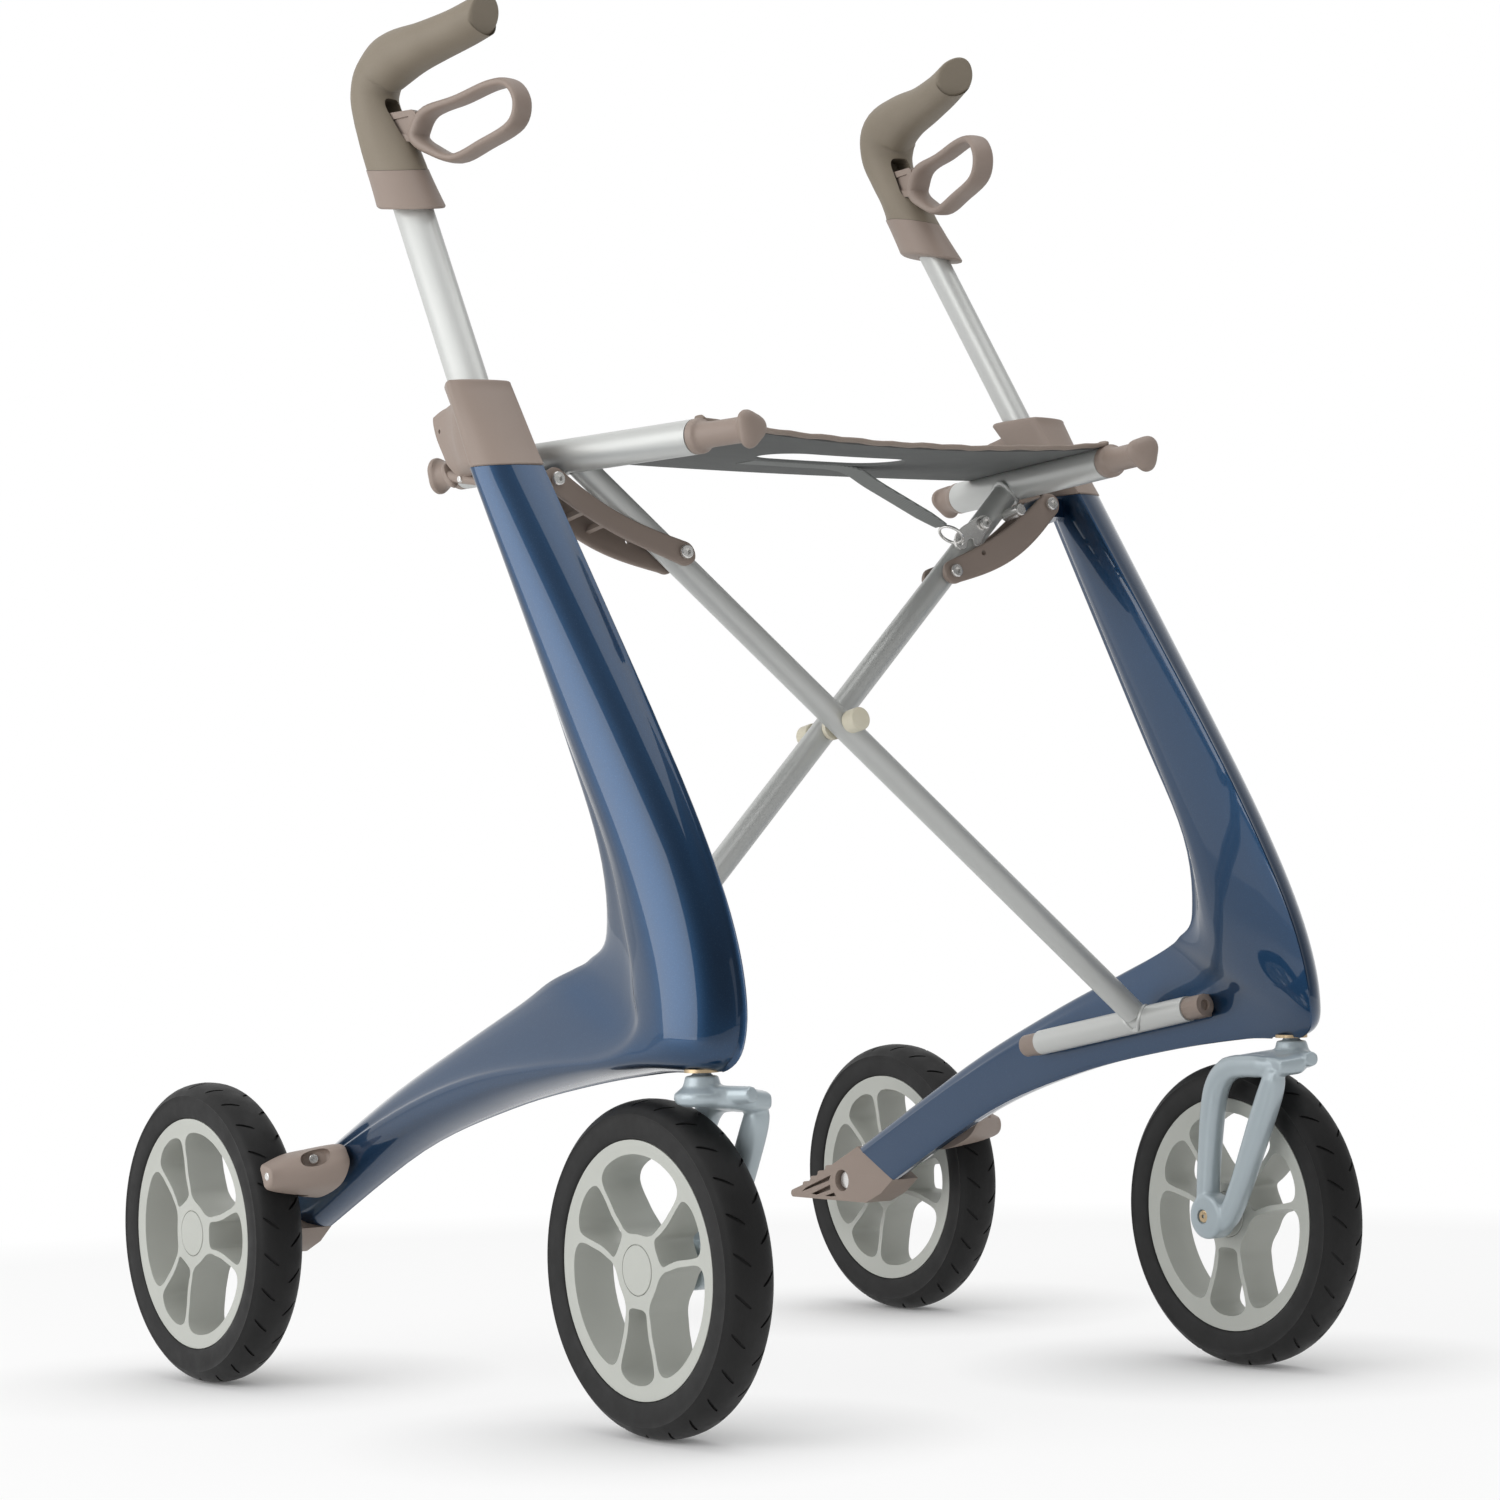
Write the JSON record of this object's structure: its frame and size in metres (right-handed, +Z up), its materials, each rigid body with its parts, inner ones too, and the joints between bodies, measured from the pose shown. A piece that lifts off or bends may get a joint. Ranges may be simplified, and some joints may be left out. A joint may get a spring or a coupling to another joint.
{
  "type": "rollator",
  "caption": "Folding wheeled walker: moulded side frames, scissor brace, sling seat, swivelling front wheels, telescopic handles and loop brakes",
  "frame": {"origin": "on the floor, midway between the front and rear axles and midway between the side frames", "axes": "+Z up, the front of the walker faces -Y, +X to the left hand of the person who walks behind it"},
  "size_m": [0.6248, 0.6376, 0.906],
  "materials": {
    "navy_paint": "glossy metallic navy lacquer on a moulded shell",
    "taupe_plastic": "fine matt taupe",
    "olive_rubber": "soft matt olive brown",
    "silver_aluminium": "satin anodised",
    "cream_plastic": "satin cream",
    "fork_paint": "pale blue-grey paint, satin",
    "grey_plastic": "matt stone grey",
    "tyre_rubber": "matt black",
    "bright_steel": "bright zinc plated",
    "brass_finish": "yellow passivated",
    "seat_fabric": "woven dark grey",
    "grey_webbing": "woven grey webbing"
  },
  "bodies": {
    "frame_right": {"frame_shell_right": "navy_paint", "collar_right": "taupe_plastic", "end_cap_right": "taupe_plastic", "stem_bearing_right": "brass_finish", "pivot_block_front_right": "taupe_plastic", "pivot_block_rear_right": "taupe_plastic", "rear_axle_right": "bright_steel", "link_frame_bolt_right": "bright_steel", "clamp_pin_right": "bright_steel"},
    "cross_rear": {"cross_tube_rear": "silver_aluminium", "seat_plug_front_left": "taupe_plastic", "seat_plug_rear_left": "taupe_plastic", "latch_bolt": "bright_steel", "strap": "grey_webbing"},
    "cross_front": {"cross_tube_front": "silver_aluminium", "seat_plug_front_right": "taupe_plastic", "seat_plug_rear_right": "taupe_plastic", "centre_pivot": "cream_plastic", "seat": "seat_fabric"},
    "frame_left": {"frame_shell_left": "navy_paint", "collar_left": "taupe_plastic", "end_cap_left": "taupe_plastic", "stem_bearing_left": "brass_finish", "pivot_block_front_left": "taupe_plastic", "pivot_block_rear_left": "taupe_plastic", "rear_axle_left": "bright_steel", "link_frame_bolt_left": "bright_steel", "clamp_pin_left": "bright_steel"},
    "link_right": {"link_right": "taupe_plastic", "link_tube_bolt_right": "bright_steel"},
    "link_left": {"link_left": "taupe_plastic", "link_tube_bolt_left": "bright_steel"},
    "latch": {"latch": "bright_steel", "latch_ring": "bright_steel"},
    "handle_right": {"handle_post_right": "silver_aluminium", "handle_base_right": "taupe_plastic", "grip_right": "olive_rubber", "lever_pin_right": "bright_steel"},
    "brake_lever_right": {"brake_lever_right": "taupe_plastic"},
    "clamp_lever_right": {"clamp_lever_right": "taupe_plastic"},
    "caster_right": {"fork_right": "fork_paint", "front_axle_right": "brass_finish"},
    "front_wheel_right": {"front_rim_right": "grey_plastic", "front_tyre_right": "tyre_rubber"},
    "rear_wheel_right": {"rear_rim_right": "grey_plastic", "rear_tyre_right": "tyre_rubber"},
    "brake_arm_right": {"brake_arm_right": "taupe_plastic"},
    "handle_left": {"handle_post_left": "silver_aluminium", "handle_base_left": "taupe_plastic", "grip_left": "olive_rubber", "lever_pin_left": "bright_steel"},
    "brake_lever_left": {"brake_lever_left": "taupe_plastic"},
    "clamp_lever_left": {"clamp_lever_left": "taupe_plastic"},
    "caster_left": {"fork_left": "fork_paint", "front_axle_left": "brass_finish"},
    "front_wheel_left": {"front_rim_left": "grey_plastic", "front_tyre_left": "tyre_rubber"},
    "rear_wheel_left": {"rear_rim_left": "grey_plastic", "rear_tyre_left": "tyre_rubber"},
    "brake_arm_left": {"brake_arm_left": "taupe_plastic"}
  },
  "joints": [
    {"name": "fold", "type": "hinge", "parent": "frame_right", "child": "cross_rear", "pos_m": [-0.22304, -0.12728, 0.22498], "axis": [0, -0.986, 0.1668], "range_deg": [0, 25], "deforming": ["strap"]},
    {"name": "scissor", "type": "hinge", "parent": "cross_rear", "child": "cross_front", "pos_m": [0, -0.0934, 0.4253], "axis": [0, -0.986, 0.1668], "range_deg": [-61, 0], "deforming": ["seat"]},
    {"name": "fold_left", "type": "hinge", "parent": "cross_front", "child": "frame_left", "pos_m": [0.22304, -0.12728, 0.22498], "axis": [0, -0.986, 0.1668], "range_deg": [0, 26]},
    {"name": "link_right", "type": "hinge", "parent": "frame_right", "child": "link_right", "pos_m": [-0.2037, -0.06742, 0.57892], "axis": [0, -0.986, 0.1668], "range_deg": [0, 83]},
    {"name": "link_left", "type": "hinge", "parent": "frame_left", "child": "link_left", "pos_m": [0.2037, -0.06742, 0.57892], "axis": [0, -0.986, 0.1668], "range_deg": [-83, 0]},
    {"name": "latch", "type": "hinge", "parent": "cross_rear", "child": "latch", "pos_m": [0.1526, -0.06939, 0.56728], "axis": [0, 0.986, -0.1668], "range_deg": [0, 25]},
    {"name": "handle_height_right", "type": "slide", "parent": "frame_right", "child": "handle_right", "axis": [0.0575, 0.5247, 0.8493], "range_m": [-0.02, 0.06]},
    {"name": "brake_squeeze_right", "type": "hinge", "parent": "handle_right", "child": "brake_lever_right", "pos_m": [-0.2175, 0.1, 0.8335], "axis": [-1, 0, 0], "range_deg": [0, 14], "stiffness_Nm_per_rad": 1, "springref_deg": -11.46},
    {"name": "clamp_open_right", "type": "hinge", "parent": "frame_right", "child": "clamp_lever_right", "pos_m": [-0.2315, 0.0133, 0.6198], "axis": [1, 0, 0], "range_deg": [0, 45]},
    {"name": "caster_swivel_right", "type": "hinge", "parent": "frame_right", "child": "caster_right", "pos_m": [-0.2365, -0.2682, 0.217], "axis": [0, 0, 1], "continuous": true},
    {"name": "front_spin_right", "type": "hinge", "parent": "caster_right", "child": "front_wheel_right", "pos_m": [-0.2365, -0.2188, 0.1], "axis": [1, 0, 0], "continuous": true},
    {"name": "rear_spin_right", "type": "hinge", "parent": "frame_right", "child": "rear_wheel_right", "pos_m": [-0.2954, 0.2188, 0.1], "axis": [1, 0, 0], "continuous": true},
    {"name": "brake_apply_right", "type": "hinge", "parent": "frame_right", "child": "brake_arm_right", "pos_m": [-0.2705, 0.118, 0.1503], "axis": [1, 0, 0], "range_deg": [0, 7.5]},
    {"name": "handle_height_left", "type": "slide", "parent": "frame_left", "child": "handle_left", "axis": [-0.0575, 0.5247, 0.8493], "range_m": [-0.02, 0.06]},
    {"name": "brake_squeeze_left", "type": "hinge", "parent": "handle_left", "child": "brake_lever_left", "pos_m": [0.2175, 0.1, 0.8335], "axis": [-1, 0, 0], "range_deg": [0, 14], "stiffness_Nm_per_rad": 1, "springref_deg": -11.46},
    {"name": "clamp_open_left", "type": "hinge", "parent": "frame_left", "child": "clamp_lever_left", "pos_m": [0.2315, 0.0133, 0.6198], "axis": [1, 0, 0], "range_deg": [0, 45]},
    {"name": "caster_swivel_left", "type": "hinge", "parent": "frame_left", "child": "caster_left", "pos_m": [0.2365, -0.2682, 0.217], "axis": [0, 0, 1], "continuous": true},
    {"name": "front_spin_left", "type": "hinge", "parent": "caster_left", "child": "front_wheel_left", "pos_m": [0.2365, -0.2188, 0.1], "axis": [1, 0, 0], "continuous": true},
    {"name": "rear_spin_left", "type": "hinge", "parent": "frame_left", "child": "rear_wheel_left", "pos_m": [0.2954, 0.2188, 0.1], "axis": [1, 0, 0], "continuous": true},
    {"name": "brake_apply_left", "type": "hinge", "parent": "frame_left", "child": "brake_arm_left", "pos_m": [0.2705, 0.118, 0.1503], "axis": [1, 0, 0], "range_deg": [0, 7.5]}
  ],
  "couplings": [
    {"joint": "scissor", "follows": "fold", "ratio": -2.4},
    {"joint": "fold_left", "follows": "fold", "ratio": 1},
    {"joint": "link_right", "follows": "fold", "ratio": 3.28},
    {"joint": "link_left", "follows": "fold", "ratio": -3.28},
    {"joint": "brake_apply_right", "follows": "brake_squeeze_right", "ratio": 0.53},
    {"joint": "brake_apply_left", "follows": "brake_squeeze_left", "ratio": 0.53}
  ]
}
